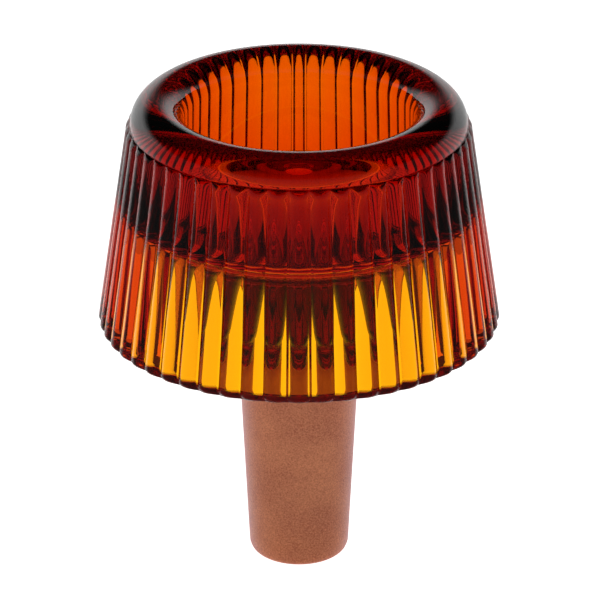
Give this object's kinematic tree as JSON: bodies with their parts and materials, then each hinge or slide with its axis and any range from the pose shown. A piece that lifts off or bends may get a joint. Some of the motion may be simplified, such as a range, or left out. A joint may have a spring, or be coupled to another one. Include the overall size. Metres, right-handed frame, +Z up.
{
  "type": "ground-joint glass bowl",
  "caption": "Reeded amber glass bowl with a hollow flared skirt and a frosted ground taper joint below, drilled through with a draw hole.",
  "frame": {"origin": "on the axis at the gauge plane, the large end of the ground taper", "axes": "+Z up the axis, out of the mouth of the bowl; the ground joint points along -Z"},
  "size_m": [0.0476, 0.0476, 0.0585],
  "materials": {
    "amber_glass": "pressed and fire-polished, clear amber",
    "frosted_glass": "ground to a fine frosted surface"
  },
  "bodies": {
    "root": {"fluted_shell": "amber_glass", "rim_ring": "amber_glass", "bowl_cup": "amber_glass", "neck_tube": "amber_glass", "ground_joint": "frosted_glass"}
  },
  "joints": []
}
